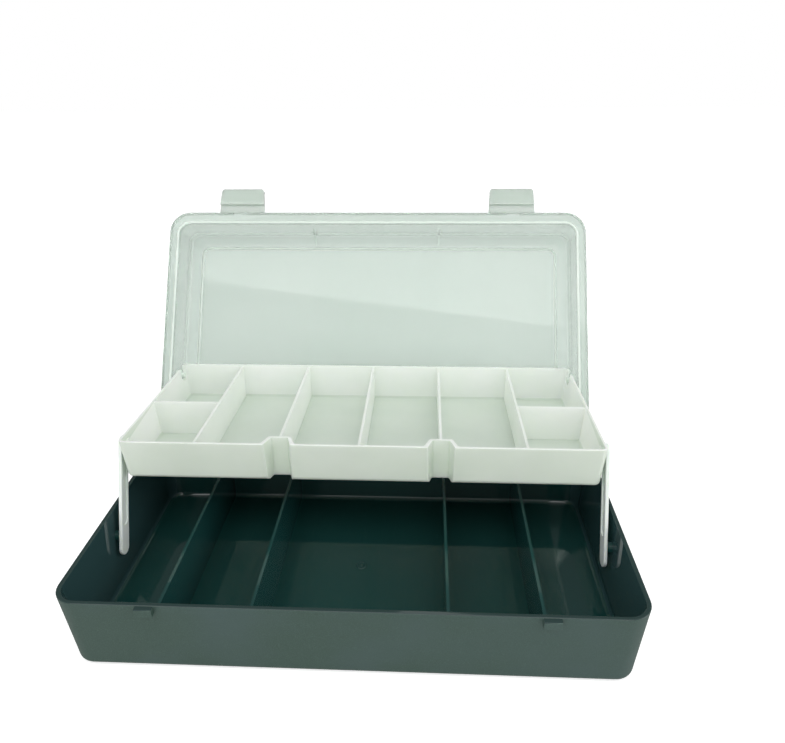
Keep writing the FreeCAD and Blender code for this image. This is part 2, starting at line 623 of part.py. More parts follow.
def make_lid_catch_gaps(body):
    """Gaps in the skirt's front that let it pass the catch lugs."""
    gaps = new_sketch(body, "catch_gaps", "XY_Plane", "-sizes.lid_skirt_depth")
    half = "(sizes.lug_width / 2 + sizes.lug_clearance)"
    back = "derived.flange_front + sizes.lid_skirt_thickness + sizes.lug_clearance"
    for side in ("-", ""):
        middle = f"{side}derived.lug_offset"
        draw_polygon(gaps, [
            (f"{middle} - {half}", "derived.flange_front - sizes.lug_clearance"),
            (f"{middle} + {half}", "derived.flange_front - sizes.lug_clearance"),
            (f"{middle} + {half}", back),
            (f"{middle} - {half}", back),
        ])
    pocket(body, gaps, "sizes.lid_skirt_depth", reverse=True)


def make_lid_ribs(body):
    """Two gussets in the corner between the dome's front wall and its top."""
    wall = "(derived.dome_front + sizes.lid_wall / 2)"
    face = "(derived.dome_front + sizes.lid_wall)"
    top = "(derived.dome_depth + sizes.lid_top / 2)"
    corners = [
        (wall, "derived.dome_depth - sizes.lid_rib_height"),
        (f"{face} + sizes.lid_rib_reach", "derived.dome_depth"),
        (f"{face} + sizes.lid_rib_reach", top),
        (wall, top),
    ]
    for sign in ("-", ""):
        slab(body, "rib", f"{sign}sizes.lid_rib_offset", corners, "sizes.lid_rib_thickness")


def make_lid_hinges(body):
    """Notches in the flange for the ears, knuckles between them, and the pin's bore."""
    notches = new_sketch(body, "ear_notches", "XY_Plane", "-sizes.lid_skirt_depth")
    half = "(sizes.hinge_ear_width / 2 + sizes.lid_notch_clearance)"
    inward = "-(sizes.hinge_radius + sizes.lid_notch_clearance)"
    for side in ("-", ""):
        for ear in ("-", "+"):
            shift = f"{ear} (sizes.hinge_ear_gap + sizes.hinge_ear_width) / 2"
            middle = f"{side}derived.hinge_offset {shift}"
            draw_polygon(notches, [
                (f"{middle} - {half}", inward),
                (f"{middle} + {half}", inward),
                (f"{middle} + {half}", "sizes.hinge_radius"),
                (f"{middle} - {half}", "sizes.hinge_radius"),
            ])
    pocket(body, notches, "sizes.lid_skirt_depth + derived.dome_depth", reverse=True)
    length = "sizes.hinge_ear_gap - 2 * sizes.hinge_side_clearance"
    fairing = [
        ("-2 * sizes.hinge_radius", "sizes.lid_flange_thickness"),
        ("-2 * sizes.hinge_radius", "0"),
        ("0", "0"),
        ("0", "sizes.hinge_radius"),
    ]
    for sign in ("-", ""):
        middle = f"{sign}derived.hinge_offset"
        slab(body, "knuckle_fairing", middle, fairing, length)
        disc(body, "knuckle", f"{middle} - ({length}) / 2", "0", "0", "sizes.hinge_radius", length)
    bores = new_sketch(body, "knuckle_bores", "YZ_Plane")
    draw_circle(bores, "0", "0", "sizes.hinge_pin_radius + sizes.running_fit")
    pocket(body, bores, both=True)


def make_lid_fittings(body):
    """The tray's stubs, and the thin webs that the latches fold on."""
    collar_face = "(derived.tray_half + sizes.stub_side_clearance)"
    collar_radius = "sizes.stub_radius + sizes.stub_collar"
    reach = f"{collar_face} - derived.tray_half + sizes.tray_wall + sizes.stub_reach"
    stub = ("-sizes.stub_forward", "sizes.stub_rise")
    features = [
        disc(body, "stub_collar", collar_face, *stub, collar_radius,
             f"derived.hollow_half + sizes.lid_wall / 2 - sizes.lid_inset / 2 - {collar_face}"),
        disc(body, "stub", collar_face, *stub, "sizes.stub_radius", reach, reverse=True),
    ]
    film_top = "sizes.latch_axis_height + sizes.latch_film"
    film = [
        ("derived.flange_front + sizes.lid_skirt_thickness / 2", "sizes.latch_axis_height"),
        ("derived.flange_front + sizes.lid_skirt_thickness / 2", film_top),
        ("derived.fold_y + sizes.latch_fold_gap", film_top),
        ("derived.fold_y + sizes.latch_fold_gap", "sizes.latch_axis_height"),
    ]
    features.append(slab(body, "film", "derived.latch_offset", film, "sizes.latch_width"))
    mirror(body, features)


def make_lid():
    body = new_body("lid")
    make_lid_shell(body)
    make_lid_catch_gaps(body)
    make_lid_ribs(body)
    make_lid_hinges(body)
    make_lid_fittings(body)
    place(body, "derived.hinge_y", "derived.hinge_z", "-sizes.lid_open_angle")


# The tray, drawn level about its rear pivot, with its front at negative Y.

TRAY_TAPER = "-atan(sizes.tray_inset / sizes.tray_height)"


def notch_outline(middle, wall, front):
    """A notch of the tray's front in plan, from left to right, grown by a wall."""
    mouth = f"(sizes.tray_notch_mouth / 2 + {wall})"
    narrow = f"(sizes.tray_notch_back / 2 + {wall})"
    back = f"derived.tray_front + sizes.tray_notch_depth + {wall}"
    return [
        (f"{middle} - {mouth}", front),
        (f"{middle} - {narrow}", back),
        (f"{middle} + {narrow}", back),
        (f"{middle} + {mouth}", front),
    ]


def tray_inset_at(below_rim):
    """How far the tray's outer wall has drawn in at a depth below the rim."""
    return f"(sizes.tray_inset * ({below_rim}) / sizes.tray_height)"


def make_tray_tub(body):
    """Floor and drafted walls."""
    rim = "sizes.tray_stub_below_rim"
    rear = "sizes.tray_stub_from_rear"
    outer = new_sketch(body, "tray_outer", "XY_Plane", rim)
    draw_polygon(outer, [
        ("-derived.tray_half", "derived.tray_front"),
        ("derived.tray_half", "derived.tray_front"),
        ("derived.tray_half", rear),
        ("-derived.tray_half", rear),
    ])
    pad(body, outer, "sizes.tray_height", reverse=True, taper=TRAY_TAPER)
    top = at_height(rim)
    dress(body, "Fillet", lambda edge: not top(edge), "sizes.tray_round")
    inner = new_sketch(body, "tray_inner", "XY_Plane", rim)
    side = "derived.tray_half - sizes.tray_wall"
    face = "derived.tray_front + sizes.tray_wall"
    corners = [(f"-({side})", face)]
    for sign in ("-", ""):
        corners += notch_outline(f"{sign}sizes.tray_inner_offset", "sizes.tray_wall", face)
    corners += [(side, face), (side, f"{rear} - sizes.tray_wall"),
                (f"-({side})", f"{rear} - sizes.tray_wall")]
    draw_polygon(inner, corners)
    pocket(body, inner, "sizes.tray_height - sizes.tray_floor", taper=TRAY_TAPER)
    floor = number("derived.tray_under + sizes.tray_floor")
    high = number(rim)
    inside_x = number(side)
    inside_front = number("derived.tray_front + sizes.tray_wall")
    inside_rear = number(f"{rear} - sizes.tray_wall")

    def inner_edge(edge):
        box = edge.BoundBox
        flat = near(box.ZMin, box.ZMax, floor)
        upright = abs(box.ZMin - floor) < TOLERANCE and abs(box.ZMax - high) < TOLERANCE
        inside = max(-box.XMin, box.XMax) < inside_x + TOLERANCE
        inside = inside and box.YMin > inside_front - TOLERANCE
        return (flat or upright) and inside and box.YMax < inside_rear + TOLERANCE

    dress(body, "Fillet", inner_edge, "sizes.tray_inner_round")
    dress(body, "Fillet", top, "sizes.tray_rim_round")


def make_tray_dividers(body):
    """Five plates from front to rear, and a cross plate in each outer column."""
    low = "derived.tray_under + sizes.tray_floor / 2"
    high = "sizes.tray_stub_below_rim - sizes.tray_divider_drop"
    slope = tray_inset_at("sizes.tray_height")
    front = "derived.tray_front + sizes.tray_wall / 2"
    rear = "sizes.tray_stub_from_rear - sizes.tray_wall / 2"
    cut = "sizes.tray_divider_cut"
    outline = [
        (f"{front} + {slope} + {cut}", low),
        (f"{rear} - {slope} - {cut}", low),
        (f"{rear} - {slope}", f"{low} + {cut}"),
        (rear, high),
        (front, high),
        (f"{front} + {slope}", f"{low} + {cut}"),
    ]
    offsets = ["-sizes.tray_outer_offset", "-sizes.tray_inner_offset", "0",
               "sizes.tray_inner_offset", "sizes.tray_outer_offset"]
    for middle in offsets:
        slab(body, "tray_divider", middle, outline, "sizes.tray_divider_thickness")
    cross = "sizes.tray_stub_from_rear - sizes.tray_cross_from_rear"
    side = "derived.tray_half - sizes.tray_wall / 2"
    for sign in ("-", ""):
        sketch = new_sketch(body, "cross_divider", "XZ_Plane", f"-({cross})")
        draw_polygon(sketch, [
            (f"{sign}sizes.tray_outer_offset", low),
            (f"{sign}({side} - {slope} - {cut})", low),
            (f"{sign}({side} - {slope})", f"{low} + {cut}"),
            (f"{sign}({side})", high),
            (f"{sign}sizes.tray_outer_offset", high),
        ])
        pad(body, sketch, "sizes.tray_divider_thickness", both=True)


def make_tray_notches(body):
    """Two notches in the front wall that clear the lid's gussets."""
    for sign in ("-", ""):
        notch = new_sketch(body, "notch", "XY_Plane", "derived.tray_under")
        draw_polygon(notch, notch_outline(f"{sign}sizes.tray_inner_offset", "0",
                                          "derived.tray_front - sizes.tray_wall"))
        pocket(body, notch, "sizes.tray_height", reverse=True)
    back = number("derived.tray_front + sizes.tray_notch_depth")

    def back_edge(edge):
        box = edge.BoundBox
        return near(box.YMin, box.YMax, back) and near(box.XMin, box.XMax, box.XMin)

    dress(body, "Fillet", back_edge, "sizes.tray_notch_round")


def make_tray_pivots(body):
    """Slots for the lid's stubs at the back, and pegs for the arms at the front."""
    slot_start = "derived.tray_half - 2 * sizes.tray_wall"
    slot_half = "(sizes.stub_radius + sizes.stub_play)"
    for sign, inward in (("-", True), ("", False)):
        slot = new_sketch(body, "stub_slot", "YZ_Plane", f"{sign}({slot_start})")
        draw_slot(slot, "0", f"sizes.tray_stub_below_rim + {slot_half}", slot_half,
                  "-sizes.stub_slot_forward")
        pocket(body, slot, "3 * sizes.tray_wall", reverse=not inward)
    collar_face = "(derived.arm_inner - sizes.peg_side_clearance)"
    collar_start = f"derived.tray_half - sizes.tray_wall / 2 - {tray_inset_at('sizes.tray_peg_below_rim')}"
    peg = ("derived.peg_y", "derived.peg_z")
    peg_length = f"derived.arm_outer + sizes.peg_side_clearance - {collar_face}"
    features = [
        disc(body, "peg_collar", collar_start, *peg, "sizes.peg_radius + sizes.peg_collar",
             f"{collar_face} - ({collar_start})"),
        disc(body, "peg", collar_face, *peg, "sizes.peg_radius", peg_length),
        disc(body, "peg_head", collar_start, *peg, "sizes.peg_radius + sizes.peg_head",
             "sizes.tray_wall / 2 + sizes.peg_head_thickness", reverse=True),
    ]
    mirror(body, features)


def make_tray():
    body = new_body("tray")
    make_tray_tub(body)
    make_tray_dividers(body)
    make_tray_notches(body)
    make_tray_pivots(body)
    place(body, "derived.stub_open_y", "derived.stub_open_z", "-sizes.tray_open_tilt")


# The arms, drawn upright about their pivot on the base.


def make_arm(name, side):
    """A flat strip with round ends, a socket, a hole and a shallow recess on its inner face."""
    body = new_body(f"arm_{name}")
    start = "derived.arm_inner" if side > 0 else "-derived.arm_outer"
    strip = new_sketch(body, "strip", "YZ_Plane", start)
    draw_slot(strip, "sizes.arm_width / 2 - sizes.arm_foot_reach",
              "derived.arm_length + sizes.arm_top_reach - sizes.arm_width / 2", "sizes.arm_width / 2")
    pad(body, strip, "sizes.arm_thickness")
    dress(body, "Chamfer", lambda edge: near(edge.BoundBox.XMin, edge.BoundBox.XMax,
                                             edge.BoundBox.XMin), "sizes.arm_edge")
    inner = "derived.arm_inner" if side > 0 else "-derived.arm_inner"
    recess = new_sketch(body, "recess", "YZ_Plane", inner)
    radius = "sizes.arm_width / 2 - sizes.arm_rim"
    draw_slot(recess, f"sizes.arm_recess_setback + {radius}",
              f"derived.arm_length - sizes.arm_recess_setback - ({radius})", radius)
    pocket(body, recess, "sizes.arm_recess", reverse=side > 0)
    outer = "derived.arm_outer" if side > 0 else "-derived.arm_outer"
    socket = new_sketch(body, "socket", "YZ_Plane", outer)
    draw_circle(socket, "0", "0", "sizes.peg_radius + sizes.running_fit")
    pocket(body, socket, "sizes.socket_depth", reverse=side < 0)
    hole = new_sketch(body, "hole", "YZ_Plane")
    draw_circle(hole, "0", "derived.arm_length", "sizes.peg_radius + sizes.running_fit")
    pocket(body, hole, both=True)
    place(body, "derived.arm_pivot_y", "derived.arm_pivot_z", "derived.arm_open_angle - 90")


# The latches, drawn level about their fold line, and the hinge pins.


def make_latch(name, sign):
    """A flap with a hook on its inner face and a finger lip at its free end."""
    body = new_body(f"latch_{name}")
    gap = "sizes.latch_fold_gap"
    face = f"({gap} + sizes.latch_thickness)"
    tip = "sizes.latch_length"
    slope_foot = f"-({tip} - sizes.latch_lip_thickness - sizes.latch_lip_slope)"
    corners = [
        (f"-{gap}", gap),
        ("-derived.hook_start", gap),
        ("-derived.hook_start", f"{gap} - sizes.latch_hook_height"),
        ("-(derived.hook_start + sizes.latch_hook_width)", f"{gap} - sizes.latch_hook_height"),
        (f"-{tip}", f"{gap} - sizes.latch_swell"),
        (f"-{tip}", f"{face} + sizes.latch_lip_height"),
        (f"-({tip} - sizes.latch_lip_thickness)", f"{face} + sizes.latch_lip_height"),
        (slope_foot, face),
        (f"-({gap} + sizes.latch_root_chamfer)", face),
        (f"-{gap}", f"{face} - sizes.latch_root_chamfer"),
    ]
    middle = f"{sign}derived.latch_offset"
    slab(body, "flap", middle, corners, "sizes.latch_width")
    half = "sizes.latch_width / 2"
    trim = new_sketch(body, "trim", "XY_Plane")
    for way in ("-", "+"):
        draw_polygon(trim, [
            (f"{middle} {way} {half}", "0"),
            (f"{middle} {way} ({half} - sizes.latch_taper)", f"-{tip}"),
            (f"{middle} {way} {half}", f"-{tip}"),
        ])
    pocket(body, trim, both=True)
    level = number(tip)

    def free_corner(edge):
        box = edge.BoundBox
        return near(box.YMin, box.YMax, -level) and near(box.XMin, box.XMax, box.XMin)

    dress(body, "Fillet", free_corner, "sizes.latch_corner")
    angle = "sizes.lid_open_angle"
    rise = "sizes.latch_axis_height"
    place(body, f"derived.hinge_y + derived.fold_y * cos({angle}) + {rise} * sin({angle})",
          f"derived.hinge_z - derived.fold_y * sin({angle}) + {rise} * cos({angle})", f"-{angle}")


def make_hinge_pin(name, sign):
    """A plain pin as long as its two ears and the gap between them."""
    body = new_body(f"hinge_pin_{name}")
    length = "(sizes.hinge_ear_gap + 2 * sizes.hinge_ear_width)"
    disc(body, "shaft", f"{sign}derived.hinge_offset - {length} / 2", "0", "0",
         "sizes.hinge_pin_radius", length)
    dress(body, "Chamfer", lambda edge: near(edge.BoundBox.XMin, edge.BoundBox.XMax,
                                             edge.BoundBox.XMin), "sizes.hinge_pin_end")
    place(body, "derived.hinge_y", "derived.hinge_z")


def check_document():
    """Refuse a failed feature or a bad solid."""
    for item in doc.Objects:
        if "Invalid" in item.State or "Error" in item.State:
            raise RuntimeError(f"{item.Name} failed: {item.State}")
    for body in doc.findObjects("PartDesign::Body"):
        shape = body.Shape
        if shape.isNull() or not shape.isValid() or len(shape.Solids) != 1:
            raise RuntimeError(f"{body.Label} is not one valid solid")


def write_parts():
    """Write each sub-part to its own file."""
    os.makedirs("parts", exist_ok=True)
    for body in doc.findObjects("PartDesign::Body"):
        body.Shape.exportStep(f"parts/{body.Label}.step")
        print(f"{body.Label}: {body.Shape.Volume:.1f} mm3")


make_base()
make_lid()
make_tray()
for side_name, side_sign in SIDES:
    make_arm(side_name, side_sign)
    make_latch(side_name, "-" if side_sign < 0 else "")
    make_hinge_pin(side_name, "-" if side_sign < 0 else "")
doc.recompute()
check_document()
write_parts()
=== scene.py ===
import json
import logging
import math
from dataclasses import dataclass, field
from enum import Enum
from typing import Callable, Optional

import bmesh
import bpy
from mathutils import Matrix, Vector
from mathutils.bvhtree import BVHTree


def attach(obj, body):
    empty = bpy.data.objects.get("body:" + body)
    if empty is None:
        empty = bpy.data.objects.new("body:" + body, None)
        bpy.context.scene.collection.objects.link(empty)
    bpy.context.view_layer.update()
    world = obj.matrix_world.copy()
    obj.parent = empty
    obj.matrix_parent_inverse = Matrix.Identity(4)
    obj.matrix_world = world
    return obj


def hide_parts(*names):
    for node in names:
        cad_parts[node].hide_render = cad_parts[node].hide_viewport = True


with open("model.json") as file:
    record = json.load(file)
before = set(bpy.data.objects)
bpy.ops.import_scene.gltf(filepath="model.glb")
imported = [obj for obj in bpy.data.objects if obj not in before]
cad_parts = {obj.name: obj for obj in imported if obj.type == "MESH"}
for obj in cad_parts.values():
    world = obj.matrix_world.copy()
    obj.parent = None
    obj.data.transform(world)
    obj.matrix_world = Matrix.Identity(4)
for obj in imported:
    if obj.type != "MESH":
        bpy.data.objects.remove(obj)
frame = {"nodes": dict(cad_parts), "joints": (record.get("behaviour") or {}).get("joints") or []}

LOG = logging.getLogger("tackle_box")
MM = 0.001
LEVEL = 0.7  # a face is level where the upright part of its normal is over this
WHITE = (1.0, 1.0, 1.0, 1.0)
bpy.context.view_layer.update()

Triple = tuple[float, float, float]
Colour = Triple
Stops = tuple[tuple[float, float], tuple[float, float]]  # place and grey value of each
Region = Callable[[Vector, Vector], bool]  # of a face's centre and normal


def srgb(red: int, green: int, blue: int) -> Colour:
    """Turn an 8-bit display colour into the linear colour that the shader takes.

    Args:
        red: Red, 0 to 255.
        green: Green, 0 to 255.
        blue: Blue, 0 to 255.

    Returns:
        The linear colour.
    """
    def channel(value: int) -> float:
        """Undo the display curve for one channel."""
        part = value / 255
        return part / 12.92 if part <= 0.04045 else ((part + 0.055) / 1.055) ** 2.4
    return (channel(red), channel(green), channel(blue))


def joint_named(name: str) -> dict:
    """The record's row of a joint: its place, its axis and its range."""
    return next(joint for joint in frame["joints"] if joint["name"] == name)


# Node trees


class Term:
    """A number, colour or geometry socket; Python operators on a number add Math nodes."""

    def __init__(self, bench: "Bench", socket: bpy.types.NodeSocket) -> None:
        """Keep the bench and the socket."""
        self.bench = bench
        self.socket = socket

    def _math(self, operation: str, *values: "Term | float") -> "Term":
        """Add a Math node on this and other values."""
        return self.bench.node("ShaderNodeMath", {"operation": operation}, dict(enumerate(values)))

    def __add__(self, other: "Term | float") -> "Term":
        """Sum."""
        return self._math("ADD", self, other)

    __radd__ = __add__

    def __sub__(self, other: "Term | float") -> "Term":
        """Difference."""
        return self._math("SUBTRACT", self, other)

    def __rsub__(self, other: float) -> "Term":
        """Difference from a number."""
        return self._math("SUBTRACT", other, self)

    def __mul__(self, other: "Term | float") -> "Term":
        """Product."""
        return self._math("MULTIPLY", self, other)

    __rmul__ = __mul__

    def above(self, level: float) -> "Term":
        """1 where this is over the level."""
        return self._math("GREATER_THAN", self, level)

    def distance_to(self, level: float) -> "Term":
        """How far this is from the level."""
        return self._math("ABSOLUTE", self - level)


class Bench:
    """A node tree, built with one method for every kind of node."""

    def __init__(self, tree: bpy.types.NodeTree) -> None:
        """Work on a tree."""
        self.tree = tree

    def node(self, kind: str, settings: Optional[dict] = None, inputs: Optional[dict] = None,
             result: int | str = 0) -> Term:
        """Add a node.

        Args:
            kind: The node's type.
            settings: Attributes to set first; "stops" sets a colour ramp's stops.
            inputs: Values or Terms by socket name or index.
            result: Name or index of the output that is handed back.

        Returns:
            The chosen output.
        """
        made = self.tree.nodes.new(kind)
        for key, value in (settings or {}).items():
            if key == "stops":
                self._set_stops(made.color_ramp, value)
            else:
                setattr(made, key, value)
        for key, value in (inputs or {}).items():
            if isinstance(value, Term):
                self.tree.links.new(value.socket, made.inputs[key])
            else:
                made.inputs[key].default_value = value
        return Term(self, made.outputs[result])

    @staticmethod
    def _set_stops(ramp: bpy.types.ColorRamp, stops: Stops) -> None:
        """Set a ramp's stops.

        Args:
            ramp: A new ramp, which has two stops.
            stops: The two new ones.
        """
        for element, (place, value) in zip(ramp.elements, stops):
            element.position = place
            element.color = (value, value, value, 1.0)


class Graph(Bench):
    """A material's node tree."""

    def __init__(self, name: str) -> None:
        """Start a material that holds only its output node.

        Args:
            name: Name of the material.
        """
        self.material = bpy.data.materials.new(name)
        self.material.use_nodes = True
        super().__init__(self.material.node_tree)
        self.tree.nodes.clear()
        self.output = self.tree.nodes.new("ShaderNodeOutputMaterial")

    def place(self) -> Term:
        """The point being shaded, in the object's own metres."""
        return self.node("ShaderNodeTexCoord", result="Object")

    def noise(self, size: float, detail: float = 3.0, stretch: Triple = (1.0, 1.0, 1.0)) -> Term:
        """Add cloudy noise.

        Args:
            size: About how wide a cloud is, in metres.
            detail: How many finer layers lie over the first.
            stretch: How much longer a cloud is along each axis.

        Returns:
            The noise, around 0.5.
        """
        scale = tuple(1.0 / (size * part) for part in stretch)
        moved = self.node("ShaderNodeMapping", {"vector_type": "POINT"},
                          {"Vector": self.place(), "Scale": scale}, "Vector")
        return self.node("ShaderNodeTexNoise", {"noise_dimensions": "3D"},
                         {"Vector": moved, "Scale": 1.0, "Detail": detail}, "Fac")

    def ramp(self, value: Term, stops: Stops) -> Term:
        """Read a value off a ramp of greys."""
        return self.node("ShaderNodeValToRGB", {"stops": stops}, {"Fac": value}, "Color")

    def mix(self, factor: Term | float, first: Colour | Term, second: Colour | Term) -> Term:
        """Blend two colours.

        Args:
            factor: 0 for the first, 1 for the second.
            first: One colour.
            second: The other colour.

        Returns:
            The blend.
        """
        def opaque(value: Colour | Term) -> Term | tuple:
            """A plain colour with its alpha, or a Term as it is."""
            return value if isinstance(value, Term) else (*value, 1.0)
        # a Mix node's colours go in at sockets 6 and 7 and come out at socket 2
        inputs = {0: factor, 6: opaque(first), 7: opaque(second)}
        return self.node("ShaderNodeMix", {"data_type": "RGBA"}, inputs, 2)

    def bump(self, height: Term, strength: float, distance: float) -> Term:
        """Turn a height into a shading normal."""
        inputs = {"Height": height, "Strength": strength, "Distance": distance}
        return self.node("ShaderNodeBump", None, inputs, "Normal")

    def surface(self, inputs: dict) -> bpy.types.Material:
        """Finish with a Principled surface.

        Args:
            inputs: Values or Terms by socket name.

        Returns:
            The finished material.
        """
        shader = self.node("ShaderNodeBsdfPrincipled", None, inputs, "BSDF")
        self.tree.links.new(shader.socket, self.output.inputs["Surface"])
        return self.material


# Finishes


@dataclass(frozen=True)
class TubGrain:
    """Spark-eroded grain on the outside of the dark tub."""

    base: Colour = srgb(50, 73, 65)
    light: Colour = srgb(68, 93, 83)
    bloom: Colour = srgb(63, 84, 84)
    grain_size: float = 0.45 * MM
    grain_depth: float = 0.10 * MM
    grain_strength: float = 0.45
    cloud_size: float = 38 * MM
    speck_stops: Stops = ((0.45, 0.0), (0.75, 1.0))
    bloom_stops: Stops = ((0.40, 0.0), (0.7, 0.55))
    roughness: float = 0.50
    roughness_spread: float = 0.16

    def build(self) -> bpy.types.Material:
        """Make the material.

        Returns:
            The material.
        """
        graph = Graph("tub_grain")
        grain = graph.noise(self.grain_size)
        cloud = graph.noise(self.cloud_size)
        speck = graph.ramp(grain, self.speck_stops)
        colour = graph.mix(speck, self.base, self.light)
        colour = graph.mix(graph.ramp(cloud, self.bloom_stops), colour, self.bloom)
        return graph.surface({
            "Base Color": colour,
            "Roughness": self.roughness + self.roughness_spread * grain,
            "Normal": graph.bump(grain, self.grain_strength, self.grain_depth),
        })


@dataclass(frozen=True)
class TubGloss:
    """Polished inside of the dark tub; its base, darker than the outside, is painted shade."""

    name: str = "tub_gloss_painted_shade"
    # base darker than the grained outside: painted shade inside the tub
    base: Colour = srgb(25, 64, 61)
    worn: Colour = srgb(52, 86, 84)
    cloud_size: float = 35 * MM
    scuff_width: float = 2.6 * MM
    scuff_detail: float = 2.5
    scuff_stretch: Triple = (1.0, 7.0, 1.0)
    scuff_stops: Stops = ((0.60, 0.0), (0.78, 1.0))
    scuff_share: float = 0.16
    roughness: float = 0.03
    roughness_spread: float = 0.03
    ior: float = 1.52

    def build(self) -> bpy.types.Material:
        """Make the material.

        Returns:
            The material.
        """
        graph = Graph(self.name)
        cloud = graph.noise(self.cloud_size)
        scuff = graph.noise(self.scuff_width, self.scuff_detail, self.scuff_stretch)
        marks = graph.ramp(scuff, self.scuff_stops)
        colour = graph.mix(self.scuff_share * marks * cloud, self.base, self.worn)
        spread = self.roughness_spread
        return graph.surface({
            "Base Color": colour,
            "Roughness": self.roughness + spread * cloud + spread * marks,
            "IOR": self.ior,
        })


@dataclass(frozen=True)
class MilkyPlastic:
    """Milky, slightly translucent plastic of the tray and the arms.

    Depth is how far light travels inside, and reach the share of it for red, green and blue.
    """

    name: str = "milky_inside_painted_light"
    # lightest copy, painted light on the tray's inside
    base: Colour = srgb(242, 248, 240)
    shade: Colour = srgb(234, 242, 232)
    depth: float = 3.0 * MM
    reach: Triple = (1.0, 1.0, 0.92)
    cloud_size: float = 26 * MM
    shade_stops: Stops = ((0.35, 0.0), (0.75, 0.7))
    roughness: float = 0.26
    roughness_spread: float = 0.10

    def build(self) -> bpy.types.Material:
        """Make the material.

        Returns:
            The material.
        """
        graph = Graph(self.name)
        cloud = graph.noise(self.cloud_size)
        colour = graph.mix(graph.ramp(cloud, self.shade_stops), self.base, self.shade)
        return graph.surface({
            "Base Color": colour,
            "Roughness": self.roughness + self.roughness_spread * cloud,
            "Subsurface Weight": 1.0,
            "Subsurface Radius": self.reach,
            "Subsurface Scale": self.depth,
        })


@dataclass(frozen=True)
class FrostedPlastic:
    """Hazy clear plastic of the lid and the latches.

    Clear is the share of the light that the plastic lets through, haze the share of the rest that
    it scatters inside, and cover how much of what stands behind the faces hide. Depth and reach
    are as in the milky plastic.
    """

    name: str = "hazy_plastic"
    base: Colour = srgb(228, 244, 233)
    shade: Colour = srgb(222, 240, 228)
    clear: float = 0.8
    haze: float = 1.0
    cover: float = 0.84
    depth: float = 5 * MM
    reach: Triple = (1.0, 1.0, 0.97)
    cloud_size: float = 70 * MM
    cloud_detail: float = 2.0
    shade_stops: Stops = ((0.35, 0.0), (0.7, 0.7))
    roughness: float = 0.02
    roughness_spread: float = 0.02
    ior: float = 1.42

    def build(self) -> bpy.types.Material:
        """Make the material.

        Returns:
            The material.
        """
        graph = Graph(self.name)
        cloud = graph.noise(self.cloud_size, self.cloud_detail)
        colour = graph.mix(graph.ramp(cloud, self.shade_stops), self.base, self.shade)
        return graph.surface({
            "Base Color": colour,
            "Roughness": self.roughness + self.roughness_spread * cloud,
            "Subsurface Weight": self.haze,
            "Subsurface Radius": self.reach,
            "Subsurface Scale": self.depth,
            "Transmission Weight": self.clear,
            "IOR": self.ior,
            "Alpha": self.cover,
        })


@dataclass(frozen=True)
class DrawnWire:
    """Drawn steel wire of the hinge pins."""

    base: Colour = srgb(168, 170, 172)
    dark: Colour = srgb(120, 122, 124)
    streak_width: float = 0.25 * MM
    streak_stretch: Triple = (40.0, 1.0, 1.0)
    streak_depth: float = 0.02 * MM
    streak_strength: float = 0.2
    roughness: float = 0.25
    roughness_spread: float = 0.25

    def build(self) -> bpy.types.Material:
        """Make the material.

        Returns:
            The material.
        """
        graph = Graph("drawn_wire")
        streak = graph.noise(self.streak_width, stretch=self.streak_stretch)
        return graph.surface({
            "Base Color": graph.mix(streak, self.base, self.dark),
            "Metallic": 1.0,
            "Roughness": self.roughness + self.roughness_spread * streak,
            "Normal": graph.bump(streak, self.streak_strength, self.streak_depth),
        })


class Finish(Enum):
    """The finishes, by the record's material slot that each stands for."""

    TUB = "tub_plastic"
    TRAY = "tray_plastic"
    LID = "lid_plastic"
    PIN = "pin_steel"


# Meshes


def link(name: str, mesh: bpy.types.Mesh) -> bpy.types.Object:
    """Put a mesh in the scene as an object at the origin.

    Args:
        name: Name of the object.
        mesh: Its mesh.

    Returns:
        The object.
    """
    made = bpy.data.objects.new(name, mesh)
    bpy.context.scene.collection.objects.link(made)
    return made


def plain_copy(made: bpy.types.Object) -> None:
    """Apply an object's modifiers, so that it holds a plain mesh.

    Args:
        made: The object.
    """
    graph = bpy.context.evaluated_depsgraph_get()
    mesh = bpy.data.meshes.new_from_object(made.evaluated_get(graph))
    made.modifiers.clear()
    made.data = mesh


@dataclass
class Dressing:
    """A smooth-shaded copy of a CAD node, with a finish for each region of its faces.

    Corners closer than merge become one, and an edge that turns by sharp or more stays sharp. A
    region and its material have the same place in their lists, and the last material is for the
    faces outside all regions.
    """

    node: str
    name: str
    body: str
    finish: Finish
    materials: list[bpy.types.Material]
    regions: list[Region] = field(default_factory=list)
    sharp: float = math.radians(28)
    merge: float = 0.002 * MM
    area_weight: int = 80

    def build(self) -> None:
        """Copy, merge, shade and dress the node, and let the copy stand for it."""
        source = frame["nodes"][self.node]
        solid = bmesh.new()
        solid.from_mesh(source.data)
        bmesh.ops.remove_doubles(solid, verts=solid.verts, dist=self.merge)
        for edge in solid.edges:
            if len(edge.link_faces) == 2:
                edge.smooth = edge.calc_face_angle() < self.sharp
        for face in solid.faces:
            face.smooth = True
            face.material_index = self._slot_of(face)
        mesh = bpy.data.meshes.new(self.name)
        solid.to_mesh(mesh)
        solid.free()
        for material in self.materials:
            mesh.materials.append(material)
        piece = link(self.name, mesh)
        weighted = piece.modifiers.new("weighted", "WEIGHTED_NORMAL")
        weighted.keep_sharp = True
        weighted.weight = self.area_weight
        plain_copy(piece)
        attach(piece, self.body)
        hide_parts(self.node)
        LOG.info("dressed %s with %d faces", self.name, len(piece.data.polygons))

    def _slot_of(self, face: bmesh.types.BMFace) -> int:
        """Choose the material slot of a face.

        Args:
            face: A face of the merged copy.

        Returns:
            The slot of the first region that holds the face, or else the last slot.
        """
        centre = face.calc_center_median()
        for index, inside in enumerate(self.regions):
            if inside(centre, face.normal):
                return index
        return len(self.regions)


